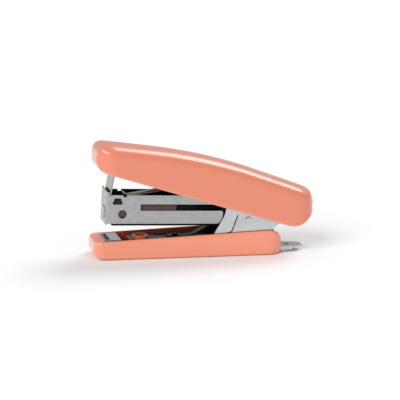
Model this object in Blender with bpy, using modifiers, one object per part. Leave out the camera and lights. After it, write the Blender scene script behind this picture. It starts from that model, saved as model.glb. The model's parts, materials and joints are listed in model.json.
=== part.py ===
"""A compact hand stapler for the small staple, as an assembly of its separate pieces.

Metres, +Z up. The staples leave at the -X end and the pivot is at the +X end, with Y across.
The origin is on the surface that the stapler stands on, under the middle of its length.
Side outlines are drawn as (x, z) from the pivot, plan outlines as (x, y), sections as (y, z).
"""

import math

import bmesh
import bpy
from mathutils import Matrix, Vector

# ---------------------------------------------------------------- driving dimensions
LENGTH = 0.0823  # from the front of the base to the back of the handle
FIT = 0.0002  # clearance between pieces that meet
SIDE_FIT = 0.0003  # clearance between the nested side walls
ARC_STEPS = 6  # straight steps in each rounded corner
TURN_STEPS = 20  # straight steps round a turned piece
WELD = 5e-7  # points of a joined mesh this close are one
INSET = 0.00004  # keeps the faces of joined shapes from lying in one plane
FAR = 0.03  # depth of a cut or a guide that goes right through

# staples
STAPLE_WIDTH = 0.0094
STAPLE_HEIGHT = 0.0050
STAPLE_WIRE = 0.0005
STRIP_LENGTH = 0.0241
CROWN_LEVEL = 0.0014  # top of the staples' crowns above the pivot's line

# pivot
PIVOT_FROM_BACK = 0.0212
PIVOT_HEIGHT = 0.0173
PIN_RADIUS = 0.00125
PIN_CLEARANCE = 0.00025
BUSH_WALL = 0.0007
RIVET_RADIUS = 0.0006
RIVET_HEAD = 0.0012
RIVET_HEAD_HEIGHT = 0.0004
RIVET_STEPS = 12

# magazine, in its own frame: x along it from the pivot, tilted by MAGAZINE_TILT
MAGAZINE_TILT = math.radians(1.5)
FRONT_SETBACK = 0.0044  # front plate behind the front of the base
SHEET = 0.0005  # steel sheet of the magazine, ears and blade
SIDE_TOP = 0.0045
LEG_ROOM = 0.0022  # side plates go this far below the staples' legs
FRONT_TOP = 0.0055
FLOOR_THICKNESS = 0.0005
LIMB_BACK = 0.0140  # the lower limb stops this far before the pivot
NECK_BACK = 0.0032  # the ears reach this far round the pivot
NECK_BOTTOM = -0.0029
SLOT_SETBACK = 0.0122  # from the front plate
SLOT_BOTTOM = -0.00108
SLOT_TOP = 0.00125
KEYHOLE_SETBACK = 0.0021
KEYHOLE_WIDTH = 0.0035
KEYHOLE_NECK = 0.0025
KEYHOLE_LOW, KEYHOLE_HIGH = 0.0011, 0.00337
HOLE_SETBACK = 0.00575
HOLE_LEVEL = -0.00237
HOLE_RADIUS = 0.00155
NOTCH_SETBACK, NOTCH_WIDTH, NOTCH_DEPTH = 0.0058, 0.0013, 0.0007
PAD_LOW, PAD_HIGH, PAD_HALF_WIDTH, PAD_RISE = -0.0045, -0.0004, 0.0022, 0.0003
BEND_RADIUS = 0.0009
BLADE_SLOT = 0.0010  # between the front plate and the first staple

# core, pusher, rod
CORE_TOP_GAP = 0.00025  # under the crowns
PUSHER_LENGTH = 0.0070
PUSHER_RISE = 0.0006  # saddle above the core
PUSHER_SKIRT = 0.0016  # and below the rod
TONGUE_PLATE = 0.0008
ROD_RADIUS = 0.0006
ROD_LEVEL = -0.0024
COIL_RADIUS = 0.00125
COIL_WIRE = 0.00022
COIL_TURNS = 11
COIL_STEPS = 9  # straight steps in a turn of the coil
SEAT_HALF_WIDTH = 0.0030
SEAT_RISE = 0.0018  # seat above the rod

# handle
HANDLE_TILT = math.radians(16.8)
PRESS = math.radians(8.0)  # stroke of the handle
HANDLE_WALL = 0.0011
COVER_GAP = 0.00035  # between the arm and the cover
HANDLE_EDGE_DROP = 0.0032  # lower edge under the pivot
NOSE_SETBACK = 0.0006  # nose behind the front of the base
NOSE_HEIGHT = 0.00963
NOSE_TOP_RADIUS = 0.0056
NOSE_BOTTOM_RADIUS = 0.0039
NOSE_FACE = 0.0094  # width of the flat front face
NOSE_FLANK = 0.0056  # length over which the nose widens to the full width
CREST_X = -0.0194
CREST_HEIGHT = 0.01694
CREST_RADIUS = 0.300
HEEL_TOP = 0.00545
HEEL_LOW = -0.0019
HEEL_BOTTOM_X = 0.0136
HEEL_RADIUS = 0.0065
HEEL_BOTTOM_RADIUS = 0.0080
HEEL_PLAN_RADIUS = 0.0075
SHOULDER = 0.0020
PLAN_OVERCUT = 0.0004  # the plan outline is this much wider than the sides
ARM_SHEET = 0.0006
ARM_TOP = 0.0054  # above the pivot, in the arm's frame
ARM_SETBACK = 0.0020  # behind the nose
ARM_EDGE = 0.0018  # lower edge of its long front part
ARM_HUB = 0.0029  # round the pin
ARM_NECK = -0.0055  # the web ends here
BLADE_LEAN = math.radians(7.0)
BLADE_PLAY = 0.0002  # between the blade and the front plate
BLADE_TIP_LEVEL = 0.0024  # tip above the pivot's line, in the magazine's frame, at rest
BLADE_TOP_GAP = 0.0004
BLADE_SHOULDER = 0.0006
BLADE_STROKE_ROOM = 0.0007  # shoulders above the side plates at the end of the stroke
BLADE_RIVET_Y = 0.0024
BLADE_RIVET_DROP = 0.0028  # below the blade's top
TAB_HALF_WIDTH = 0.0042
TAB_START = 0.66  # share of the blade's length that the tab leaves free
LEAF_THICKNESS = 0.0004
LEAF_HALF_WIDTH = 0.0022
LEAF_RIVET_X = -0.0120
LEAF_DROP = 0.0136  # lowest point of the handle's leaf under its root
LEAF_REACH = 0.0480

# base
BASE_TAIL = 0.0097  # behind the pivot
BASE_WALL = 0.00095
RIM_FRONT = 0.00656
RIM_BACK = 0.00944
TOE_RADIUS = 0.0032  # lower front edge, in side view
TAIL_RADIUS = 0.0062  # upper back edge, in side view
FRONT_CORNER, BACK_CORNER = 0.0030, 0.0058  # in plan
TRAY_FLOOR = 0.0012
TRAY_SETBACK = 0.0040  # solid ledge in front of the tray
BOSS_REACH = 0.0432  # ahead of the pivot
BOSS_RADIUS = 0.0030
BOSS_BORE = 0.0019
FRAME_SHEET = 0.0006
FRAME_TOP = 0.0063
FRAME_REACH = 0.0480  # ahead of the pivot
STRIP_HALF_WIDTH = 0.0046
RIB_Y = 0.0037
RIB_HALF_WIDTH = 0.0005
RIB_RISE = 0.00035
RIB_START, RIB_LENGTH = 0.0378, 0.0175
TONGUE_TOP = 0.0021
TONGUE_HALF = 0.0037
TONGUE_LENGTH = 0.0083  # behind the base
TONGUE_LIP = 0.0007  # its sides turn down this far
EAR_REACH = 0.0172  # ahead of the pivot
EAR_TAIL = 0.0043  # its foot behind the pivot
EAR_TOP_TAIL = 0.0081  # its upper part behind the pivot
EAR_ABOVE = 0.0030  # above the pivot
ANVIL_TOP = 0.00685
ANVIL_LENGTH = 0.0058
ANVIL_DEPTH = 0.0034
CLINCH_DEPTH = 0.00035
CLINCH_HALF = 0.0008
GROOVE_WIDTH = 0.00045
STOP_REACH, STOP_DROP = 0.0046, 0.0042  # ahead of and below the pivot
STOP_HEAD, STOP_HEAD_HEIGHT = 0.0013, 0.0002
RETURN_RIVET_REACH = 0.0303
RETURN_ROOT, RETURN_BEND, RETURN_TIP = 0.0333, 0.0263, 0.0153  # ahead of the pivot
RETURN_GAP = 0.0003  # under the magazine's floor

# ---------------------------------------------------------------- sizes that follow
BACK_X = LENGTH / 2
BASE_FRONT_X = -LENGTH / 2
PIVOT = Vector((BACK_X - PIVOT_FROM_BACK, 0, PIVOT_HEIGHT))
BASE_BACK_X = PIVOT.x + BASE_TAIL
BASE_LENGTH = BASE_BACK_X - BASE_FRONT_X
REACH = PIVOT.x - BASE_FRONT_X - FRONT_SETBACK
NOSE_REACH = PIVOT.x - BASE_FRONT_X - NOSE_SETBACK
PIN_HOLE = PIN_RADIUS + PIN_CLEARANCE
RIVET_HOLE = RIVET_RADIUS + FIT
SIDE_BOTTOM = CROWN_LEVEL - STAPLE_HEIGHT - LEG_ROOM
MAG_INNER = STAPLE_WIDTH / 2 + SIDE_FIT
MAG_OUTER = MAG_INNER + SHEET
EAR_INNER = MAG_OUTER + SIDE_FIT
EAR_OUTER = EAR_INNER + SHEET
ARM_INNER = EAR_OUTER + SIDE_FIT
ARM_OUTER = ARM_INNER + ARM_SHEET
HANDLE_HALF_WIDTH = ARM_OUTER + COVER_GAP + HANDLE_WALL
BASE_HALF_WIDTH = EAR_OUTER + SIDE_FIT + BASE_WALL
PLATE_BACK = -REACH + SHEET  # inner face of the front plate
STRIP_FRONT = PLATE_BACK + BLADE_SLOT + FIT
STRIP_BACK = STRIP_FRONT + STRIP_LENGTH
CORE_TOP = CROWN_LEVEL - STAPLE_WIRE - CORE_TOP_GAP
CORE_HALF_WIDTH = STAPLE_WIDTH / 2 - STAPLE_WIRE - SIDE_FIT
FLOOR_TOP = SIDE_BOTTOM - FIT
SEAT_X = -LIMB_BACK - SHEET
PUSHER_FRONT = STRIP_BACK + FIT
TONGUE_HALF_WIDTH = COIL_RADIUS + COIL_WIRE + FIT / 2
BLADE_RADIUS = REACH - SHEET - BLADE_PLAY
BOSS_X = PIVOT.x - BOSS_REACH
FRAME_FRONT = PIVOT.x - FRAME_REACH
EAR_FRONT = PIVOT.x - EAR_REACH
EAR_BACK = PIVOT.x + EAR_TAIL
EAR_TOP_BACK = PIVOT.x + EAR_TOP_TAIL
TONGUE_END = BASE_BACK_X + TONGUE_LENGTH
RETURN_RIVET_X = PIVOT.x - RETURN_RIVET_REACH


def clear_scene():
    for obj in list(bpy.data.objects):
        bpy.data.objects.remove(obj, do_unlink=True)


def new_collection(name):
    made = bpy.data.collections.new(name)
    bpy.context.scene.collection.children.link(made)
    return made


def new_material(name, colour, roughness, metallic=0.0):
    made = bpy.data.materials.new(name)
    made.use_nodes = True
    surface = made.node_tree.nodes["Principled BSDF"]
    surface.inputs["Base Color"].default_value = (*colour, 1)
    surface.inputs["Roughness"].default_value = roughness
    surface.inputs["Metallic"].default_value = metallic
    return made


clear_scene()
PARTS = new_collection("stapler")

CORAL = ((0.84, 0.30, 0.20), 0.25, 0.0)
NICKEL = ((0.66, 0.68, 0.69), 0.25, 1.0)
SPRING_STEEL = ((0.30, 0.31, 0.33), 0.3, 1.0)
STAPLE_STEEL = ((0.42, 0.38, 0.38), 0.35, 1.0)
BLACK_NYLON = ((0.02, 0.02, 0.02), 0.5, 0.0)


# ---------------------------------------------------------------- outlines
def rounded(corners):
    """Points of a closed outline given as (x, y, radius) corners; each corner becomes an arc of its
    radius."""
    points = []
    count = len(corners)
    for i, (x, y, radius) in enumerate(corners):
        here = Vector((x, y))
        to_last = Vector(corners[i - 1][:2]) - here
        to_next = Vector(corners[(i + 1) % count][:2]) - here
        half = to_last.angle(to_next) / 2
        if radius <= 0 or abs(half - math.pi / 2) < 1e-3:
            points.append(here)
            continue
        reach = min(radius / math.tan(half), 0.499 * to_last.length, 0.499 * to_next.length)
        arc = reach * math.tan(half)
        centre = here + (to_last.normalized() + to_next.normalized()).normalized() * arc / math.sin(half)
        start = here + to_last.normalized() * reach - centre
        end = here + to_next.normalized() * reach - centre
        sweep = start.angle_signed(end)
        for step in range(ARC_STEPS + 1):
            turn = Matrix.Rotation(-sweep * step / ARC_STEPS, 2)
            points.append(centre + turn @ start)
    return points


def circle(x, y, radius, steps=TURN_STEPS):
    turns = [2 * math.pi * i / steps for i in range(steps)]
    return [Vector((x + radius * math.cos(t), y + radius * math.sin(t))) for t in turns]


def rectangle(low_x, low_y, high_x, high_y, radius=0.0):
    return rounded(
        [(low_x, low_y, radius), (high_x, low_y, radius), (high_x, high_y, radius), (low_x, high_y, radius)]
    )


def ribbon(path, thickness):
    """Outline of a flat strip seen edge on: the path moved half the thickness to each side."""
    points = [Vector(p) for p in path]
    above, below = [], []
    for i, point in enumerate(points):
        before = (point - points[i - 1]).normalized() if i else (points[1] - point).normalized()
        after = (points[i + 1] - point).normalized() if i + 1 < len(points) else before
        along = (before + after).normalized()
        across = Vector((-along.y, along.x)) * thickness / 2 / max(along.dot(before), 0.5)
        above.append(point + across)
        below.append(point - across)
    return above + below[::-1]


def channel_section(half_width, top, bottom, wall, bend=BEND_RADIUS):
    """Section (y, z) of a sheet bent into an upside-down U."""
    inner = half_width - wall
    return rounded(
        [
            (-half_width, bottom, 0), (-inner, bottom, 0),
            (-inner, top - wall, bend - wall), (inner, top - wall, bend - wall),
            (inner, bottom, 0), (half_width, bottom, 0),
            (half_width, top, bend), (-half_width, top, bend),
        ]
    )


# ---------------------------------------------------------------- solids
UPRIGHT = Matrix.Rotation(math.pi / 2, 4, "X")  # an outline's second axis becomes +Z
ACROSS = Matrix(((0, 0, 1, 0), (1, 0, 0, 0), (0, 1, 0, 0), (0, 0, 0, 1)))  # outline (y, z), depth along X
FLAT = Matrix.Identity(4)


def slab(name, outlines, low, high, facing=UPRIGHT, collection=PARTS, edge=0.0):
    """A flat piece: closed outlines filled and extruded from low to high along the depth axis, its rims
    rounded to the radius edge. The first outline is the edge and the others are holes.
    UPRIGHT's depth axis is -Y."""
    curve = bpy.data.curves.new(name, "CURVE")
    curve.dimensions = "2D"
    curve.fill_mode = "BOTH"
    curve.extrude = (high - low) / 2 - edge
    curve.bevel_depth = edge
    curve.bevel_resolution = 2
    curve.offset = -edge
    for outline in outlines:
        spline = curve.splines.new("POLY")
        spline.points.add(len(outline) - 1)
        for point, place in zip(spline.points, outline):
            point.co = (place[0], place[1], 0, 1)
        spline.use_cyclic_u = True
    drawn = bpy.data.objects.new(name + "_outline", curve)
    collection.objects.link(drawn)
    bpy.context.view_layer.update()
    mesh = bpy.data.meshes.new_from_object(drawn.evaluated_get(bpy.context.evaluated_depsgraph_get()))
    bpy.data.objects.remove(drawn, do_unlink=True)
    mesh.name = name
    work = bmesh.new()
    work.from_mesh(mesh)
    bmesh.ops.remove_doubles(work, verts=work.verts, dist=1e-7)
    bmesh.ops.transform(work, matrix=facing @ Matrix.Translation((0, 0, (low + high) / 2)), verts=work.verts)
    bmesh.ops.recalc_face_normals(work, faces=work.faces)
    work.to_mesh(mesh)
    work.free()
    obj = bpy.data.objects.new(name, mesh)
    collection.objects.link(obj)
    return obj


def combine(obj, other, operation):
    """Applies a Boolean with another object, which is then a helper among the cutters."""
    modifier = obj.modifiers.new(operation.lower() + "_" + other.name, "BOOLEAN")
    modifier.operation = operation
    modifier.object = other
    bpy.context.view_layer.update()
    mesh = bpy.data.meshes.new_from_object(obj.evaluated_get(bpy.context.evaluated_depsgraph_get()))
    work = bmesh.new()
    work.from_mesh(mesh)
    bmesh.ops.remove_doubles(work, verts=work.verts, dist=WELD)
    bmesh.ops.dissolve_degenerate(work, edges=work.edges, dist=WELD)
    work.to_mesh(mesh)
    work.free()
    obj.modifiers.clear()
    obj.data = mesh
    bpy.data.objects.remove(other, do_unlink=True)
    return obj


def cut(obj, other):
    return combine(obj, other, "DIFFERENCE")


def keep_inside(obj, other):
    return combine(obj, other, "INTERSECT")


def join(obj, other):
    return combine(obj, other, "UNION")


def turned(name, profile, centre, direction, collection=PARTS):
    """A turned piece: (radius, height) points from its top down its outer side, spun round its axis.
    A Screw modifier spins the profile; the top faces along direction."""
    mesh = bpy.data.meshes.new(name)
    points = [(radius, 0, height) for radius, height in profile]
    mesh.from_pydata(points, [(i, i + 1) for i in range(len(points) - 1)], [])
    obj = bpy.data.objects.new(name, mesh)
    collection.objects.link(obj)
    screw = obj.modifiers.new("spin", "SCREW")
    screw.steps = screw.render_steps = TURN_STEPS
    screw.use_merge_vertices = True
    screw.merge_threshold = 1e-6
    obj.location = centre
    obj.rotation_euler = Vector(direction).to_track_quat("Z", "Y").to_euler()
    return obj


def rivet_profile(head_radius, head_height, shank_radius, grip):
    """A rivet with a head at both ends: grip is the length between the heads."""
    half = grip / 2
    return [
        (0, half + head_height), (head_radius * 0.7, half + head_height),
        (head_radius, half + head_height / 3),
        (head_radius, half), (shank_radius, half), (shank_radius, -half),
        (head_radius, -half), (head_radius, -half - head_height / 3),
        (head_radius * 0.7, -half - head_height), (0, -half - head_height),
    ]


def dress(obj, parent, colour, roughness, metallic):
    """Gives a finished piece its own material, shades it and hangs it on its empty."""
    obj.data.materials.clear()
    obj.data.materials.append(new_material(obj.name + "_material", colour, roughness, metallic))
    obj.data.shade_smooth()
    obj.data.set_sharp_from_angle(angle=math.radians(30))
    obj.parent = parent
    return obj


def empty(name, place, turn=0.0, parent=None):
    """A frame on the pivot. A positive turn about Y lifts its front, the -X end."""
    made = bpy.data.objects.new(name, None)
    made.location = place
    made.rotation_euler = (0, turn, 0)
    made.parent = parent
    PARTS.objects.link(made)
    return made


BASE = empty("base_origin", (0, 0, 0))
MAGAZINE = empty("magazine_pivot", PIVOT, MAGAZINE_TILT)
HANDLE = empty("handle_pivot", PIVOT)
ARM = empty("arm_frame", (0, 0, 0), HANDLE_TILT, HANDLE)


# ---------------------------------------------------------------- handle
def lower_edge(x):
    return -HANDLE_EDGE_DROP - math.tan(HANDLE_TILT) * x


def handle_side(inset, drop=0.0):
    """Side outline of the handle cover moved in by inset, with its lower edge moved down by drop."""
    back = BACK_X - PIVOT.x - inset
    nose = -NOSE_REACH + inset
    return rounded(
        [
            (nose, lower_edge(nose) - drop, 0 if drop else NOSE_BOTTOM_RADIUS),
            (HEEL_BOTTOM_X, lower_edge(HEEL_BOTTOM_X) - drop, HEEL_BOTTOM_RADIUS),
            (back, HEEL_LOW - drop, HEEL_RADIUS - inset),
            (back, HEEL_TOP - inset * 0.6, HEEL_RADIUS - inset),
            (CREST_X, lower_edge(CREST_X) + CREST_HEIGHT - inset, CREST_RADIUS),
            (nose, lower_edge(-NOSE_REACH) + NOSE_HEIGHT - inset, NOSE_TOP_RADIUS - inset),
        ]
    )


def handle_plan(inset):
    """Plan outline of the handle cover: a flat front face, flanks that widen behind it, a rounded heel."""
    back = BACK_X - PIVOT.x - inset
    nose = -NOSE_REACH + inset
    half = HANDLE_HALF_WIDTH - inset + PLAN_OVERCUT
    face = (NOSE_FACE - inset) / 2
    flank = nose + NOSE_FLANK - inset * 2 / 3
    corner = HEEL_PLAN_RADIUS - inset
    return rounded(
        [
            (nose, -face, 0.001), (flank, -half, 0.006), (back, -half, corner),
            (back, half, corner), (flank, half, 0.006), (nose, face, 0.001),
        ]
    )


def handle_block(name, inset, drop, shoulder):
    """The handle's outer form, or the hollow inside it: a thick slab with rounded rims, its ends shaped
    in plan."""
    half = HANDLE_HALF_WIDTH - inset
    block = slab(name, [handle_side(inset, drop + shoulder * 2)], -half, half, edge=shoulder)
    return keep_inside(block, slab(name + "_plan", [handle_plan(inset)], -FAR, 2 * FAR, FLAT))


def make_handle_cover():
    """Moulded shell over the whole handle, open underneath."""
    cover = handle_block("handle_cover", 0, 0, SHOULDER)
    keep_inside(cover, slab("handle_true_side", [handle_side(0)], -FAR, FAR))
    cut(cover, handle_block("handle_hollow", HANDLE_WALL, 0.004, SHOULDER - HANDLE_WALL / 2))
    dress(cover, HANDLE, *CORAL)


def make_handle_arm():
    """Pressed steel channel inside the cover, on the pivot, with the tab that carries the blade."""
    front = ARM_SETBACK - NOSE_REACH
    above = ARM_TOP + 0.001
    side = rounded(
        [
            (front, ARM_EDGE, 0.001), (-0.022, ARM_EDGE, 0.006), (-0.008, 0.0003 - ARM_HUB, 0.003),
            (ARM_HUB, 0.0003 - ARM_HUB, 0.0028), (ARM_HUB, ARM_HUB, 0.0028),
            (ARM_NECK, ARM_HUB + 0.0007, 0.001), (ARM_NECK, above, 0), (front, above, 0),
        ]
    )
    section = channel_section(ARM_OUTER, ARM_TOP, -FAR, ARM_SHEET)
    arm = slab("handle_arm", [section], front - FAR, FAR, ACROSS)
    keep_inside(arm, slab("arm_side", [side], -FAR, FAR))
    untilt = Matrix.Rotation(-HANDLE_TILT, 4, "Y")
    keep_inside(arm, slab("arm_plan", [handle_plan(HANDLE_WALL + COVER_GAP)], -FAR, 2 * FAR, untilt))
    cut(arm, slab("arm_pin_hole", [circle(0, 0, PIN_HOLE)], -FAR, FAR))
    tab = [blade_point(blade_length() * t, SHEET + FIT + ARM_SHEET / 2) for t in (TAB_START, 1.06)]
    join(arm, slab("arm_tab", [ribbon(tab, ARM_SHEET)], -TAB_HALF_WIDTH, TAB_HALF_WIDTH))
    for side_y in (-1, 1):
        cut(arm, blade_drill("arm_rivet_hole", side_y * BLADE_RIVET_Y, RIVET_HOLE))
    hole = [circle(LEAF_RIVET_X, 0, RIVET_HOLE, RIVET_STEPS)]
    cut(arm, slab("arm_leaf_hole", hole, ARM_TOP - ARM_SHEET - 0.001, above, FLAT))
    dress(arm, ARM, *NICKEL)


def tip_in_arm_frame():
    """Where the blade's tip is in the arm's frame: on its circle round the pivot, at its level in the
    magazine."""
    above = math.asin(BLADE_TIP_LEVEL / BLADE_RADIUS) + MAGAZINE_TILT - HANDLE_TILT
    return Vector((-BLADE_RADIUS * math.cos(above), BLADE_RADIUS * math.sin(above)))


def blade_length():
    """From the tip up to just under the arm's web."""
    return (ARM_TOP - ARM_SHEET - tip_in_arm_frame().y) / math.cos(BLADE_LEAN) - BLADE_TOP_GAP


def blade_point(up, back=0.0):
    """A point of the blade seen from the side: up along it from the tip, and back from its front face."""
    along = Vector((-math.sin(BLADE_LEAN), math.cos(BLADE_LEAN)))
    behind = Vector((along.y, -along.x))
    return tip_in_arm_frame() + along * up + behind * back


def blade_axis():
    """Direction through the blade, from back to front."""
    front = blade_point(0) - blade_point(0, FAR)
    return Vector((front.x, 0, front.y)).normalized()


def blade_drill(name, y, radius):
    """A rod through the blade and the tab where a rivet goes."""
    middle = blade_point(blade_length() - BLADE_RIVET_DROP, ARM_SHEET)
    profile = [(0, 0.003), (radius, 0.003), (radius, -0.003), (0, -0.003)]
    rod = turned(name, profile, (middle.x, y, middle.y), blade_axis())
    bpy.context.view_layer.update()
    mesh = bpy.data.meshes.new_from_object(rod.evaluated_get(bpy.context.evaluated_depsgraph_get()))
    rod.modifiers.clear()
    rod.data = mesh
    return rod


def make_driver_blade():
    """The hardened plate that pushes one staple out: narrow where it enters the magazine, with shoulders
    above."""
    narrow = STAPLE_WIDTH / 2
    wide = narrow + BLADE_SHOULDER
    length = blade_length()
    neck = SIDE_TOP - BLADE_TIP_LEVEL + BLADE_RADIUS * math.sin(PRESS) + BLADE_STROKE_ROOM
    outline = rounded(
        [
            (-narrow, 0, 0.0002), (narrow, 0, 0.0002), (narrow, neck, 0), (wide, neck + 0.001, 0),
            (wide, length, 0.001), (-wide, length, 0.001), (-wide, neck + 0.001, 0), (-narrow, neck, 0),
        ]
    )
    blade = slab("driver_blade", [outline], 0, SHEET, ACROSS)
    tip = tip_in_arm_frame()
    lean = Matrix.Rotation(-BLADE_LEAN, 4, "Y")
    blade.data.transform(Matrix.Translation((tip.x, 0, tip.y)) @ lean)
    for side_y in (-1, 1):
        cut(blade, blade_drill("blade_rivet_hole", side_y * BLADE_RIVET_Y, RIVET_HOLE))
    dress(blade, ARM, *NICKEL)


def make_blade_rivets():
    grip = SHEET + FIT + ARM_SHEET + 2 * FIT
    middle = blade_point(blade_length() - BLADE_RIVET_DROP, (SHEET + FIT + ARM_SHEET) / 2)
    profile = rivet_profile(RIVET_HEAD, RIVET_HEAD_HEIGHT, RIVET_RADIUS, grip)
    for name, y in (("blade_rivet_left", BLADE_RIVET_Y), ("blade_rivet_right", -BLADE_RIVET_Y)):
        dress(turned(name, profile, (middle.x, y, middle.y), blade_axis()), ARM, *NICKEL)


def make_handle_spring():
    """Leaf under the arm's web; its tip bears on the magazine and lifts the handle."""
    level = ARM_TOP - ARM_SHEET - FIT - LEAF_THICKNESS / 2
    low = level - LEAF_DROP
    path = [
        (LEAF_RIVET_X + 0.0040, level), (LEAF_RIVET_X - 0.0040, level),
        (LEAF_RIVET_X - 0.0065, level - 0.0004), (-LEAF_REACH * 0.71, level - LEAF_DROP * 0.545),
        (-LEAF_REACH * 0.97, low + 0.0003), (-LEAF_REACH, low), (-LEAF_REACH * 1.03, low + 0.0004),
    ]
    leaf = slab("handle_spring", [ribbon(path, LEAF_THICKNESS)], -LEAF_HALF_WIDTH, LEAF_HALF_WIDTH)
    hole = [circle(LEAF_RIVET_X, 0, RIVET_HOLE, RIVET_STEPS)]
    cut(leaf, slab("leaf_hole", hole, level - 0.001, level + 0.001, FLAT))
    dress(leaf, ARM, *SPRING_STEEL)
    grip = ARM_SHEET + FIT + LEAF_THICKNESS + 2 * FIT
    middle = ARM_TOP - (ARM_SHEET + FIT + LEAF_THICKNESS) / 2
    profile = rivet_profile(RIVET_HEAD, RIVET_HEAD_HEIGHT, RIVET_RADIUS, grip)
    dress(turned("handle_spring_rivet", profile, (LEAF_RIVET_X, 0, middle), (0, 0, 1)), ARM, *NICKEL)


# ---------------------------------------------------------------- magazine
def magazine_keyhole():
    """Outline of the hole over the first staples: a wide lower part and a narrower top."""
    front = KEYHOLE_SETBACK - REACH
    back = front + KEYHOLE_WIDTH
    neck_front = front + (KEYHOLE_WIDTH - KEYHOLE_NECK) / 2
    neck_back = neck_front + KEYHOLE_NECK
    waist = (KEYHOLE_LOW + KEYHOLE_HIGH) / 2
    return rounded(
        [
            (front, KEYHOLE_LOW, 0.0010), (back, KEYHOLE_LOW, 0.0010), (back, waist, 0.0003),
            (neck_back, waist + 0.0003, 0), (neck_back, KEYHOLE_HIGH, 0.0004),
            (neck_front, KEYHOLE_HIGH, 0.0004), (neck_front, waist + 0.0003, 0), (front, waist, 0.0003),
        ]
    )


def make_magazine_channel():
    """Outer channel: one strip bent round the front, a side plate down each side and ears on the pin. The
    holes over the first staples are in the -Y plate only."""
    outer, inner = MAG_OUTER, MAG_INNER
    inner_bend = BEND_RADIUS - SHEET
    plan = rounded(
        [
            (-REACH, -outer, BEND_RADIUS), (FAR, -outer, 0), (FAR, -inner, 0),
            (PLATE_BACK, -inner, inner_bend), (PLATE_BACK, inner, inner_bend),
            (FAR, inner, 0), (FAR, outer, 0), (-REACH, outer, BEND_RADIUS),
        ]
    )
    before = -REACH - 0.001
    step = PLATE_BACK + 0.0003
    tooth = SIDE_BOTTOM - FLOOR_THICKNESS
    heel = PLATE_BACK - 0.0001
    slot = SLOT_SETBACK - REACH
    notch = NOTCH_SETBACK - REACH
    notch_bottom = SIDE_TOP - NOTCH_DEPTH
    side = rounded(
        [
            (before, tooth, 0), (heel, tooth, 0), (heel, SIDE_BOTTOM, 0), (-LIMB_BACK, SIDE_BOTTOM, 0.0032),
            (-LIMB_BACK, SLOT_BOTTOM, 0.0008), (slot, SLOT_BOTTOM, 0.0003), (slot, SLOT_TOP, 0.0003),
            (-NECK_BACK - 0.0013, SLOT_TOP, 0.001), (-NECK_BACK, NECK_BOTTOM, 0.0025),
            (NECK_BACK, NECK_BOTTOM, 0.0029), (NECK_BACK, SIDE_TOP, 0.0036),
            (notch + NOTCH_WIDTH, SIDE_TOP, 0), (notch + NOTCH_WIDTH, notch_bottom, 0.0002),
            (notch, notch_bottom, 0.0002), (notch, SIDE_TOP, 0), (step, SIDE_TOP, 0),
            (step, FRONT_TOP, 0), (before, FRONT_TOP, 0),
        ]
    )
    channel = slab("magazine_channel", [plan], -FAR, FAR, FLAT)
    keep_inside(channel, slab("magazine_side", [side, circle(0, 0, PIN_HOLE)], -FAR, FAR))
    for outline in (magazine_keyhole(), circle(HOLE_SETBACK - REACH, HOLE_LEVEL, HOLE_RADIUS)):
        cut(channel, slab("hole", [outline], MAG_INNER - FIT, MAG_OUTER + FIT))
    pad = rectangle(-PAD_HALF_WIDTH, PAD_LOW, PAD_HALF_WIDTH, PAD_HIGH, 0.0012)
    join(channel, slab("pad", [pad], -REACH - PAD_RISE, -REACH + PAD_RISE, ACROSS, edge=PAD_RISE / 2))
    dress(channel, MAGAZINE, *NICKEL)


def make_magazine_floor():
    """Closes the channel underneath; its back end turns up as the seat of the pusher's rod and spring."""
    front = PLATE_BACK + BLADE_SLOT + 0.0006
    half = MAG_OUTER - 0.0001
    low = FLOOR_TOP - FLOOR_THICKNESS
    floor = slab("magazine_floor", [rectangle(front, -half, -LIMB_BACK, half, 0.0006)], low, FLOOR_TOP, FLAT)
    seat = rectangle(-SEAT_HALF_WIDTH, low + 0.0001, SEAT_HALF_WIDTH, ROD_LEVEL + SEAT_RISE, 0.0006)
    hole = circle(0, ROD_LEVEL, ROD_RADIUS + FIT, RIVET_STEPS)
    join(floor, slab("rod_seat", [seat, hole], SEAT_X, SEAT_X + SHEET, ACROSS))
    dress(floor, MAGAZINE, *SPRING_STEEL)


def make_staple_core():
    """Rail that the staples sit astride, with a long slot in its top for the pusher's tongue."""
    front = STRIP_FRONT + SIDE_FIT
    back = SEAT_X - 0.0008
    section = channel_section(CORE_HALF_WIDTH, CORE_TOP, FLOOR_TOP + FIT, SHEET, SHEET + FIT)
    core = slab("staple_core", [section], front, back, ACROSS)
    half = TONGUE_HALF_WIDTH + SIDE_FIT
    slot = rectangle(STRIP_BACK - 0.001, -half, back - 0.002, half, half * 0.6)
    cut(core, slab("core_slot", [slot], CORE_TOP - 2 * SHEET, CORE_TOP + SHEET, FLAT))
    dress(core, MAGAZINE, *SPRING_STEEL)


def make_staple_strip():
    """The staples, glued side by side into one strip."""
    bottom = CROWN_LEVEL - STAPLE_HEIGHT
    section = channel_section(STAPLE_WIDTH / 2, CROWN_LEVEL, bottom, STAPLE_WIRE, STAPLE_WIRE * 1.4)
    dress(slab("staple_strip", [section], STRIP_FRONT, STRIP_BACK, ACROSS), MAGAZINE, *STAPLE_STEEL)


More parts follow.
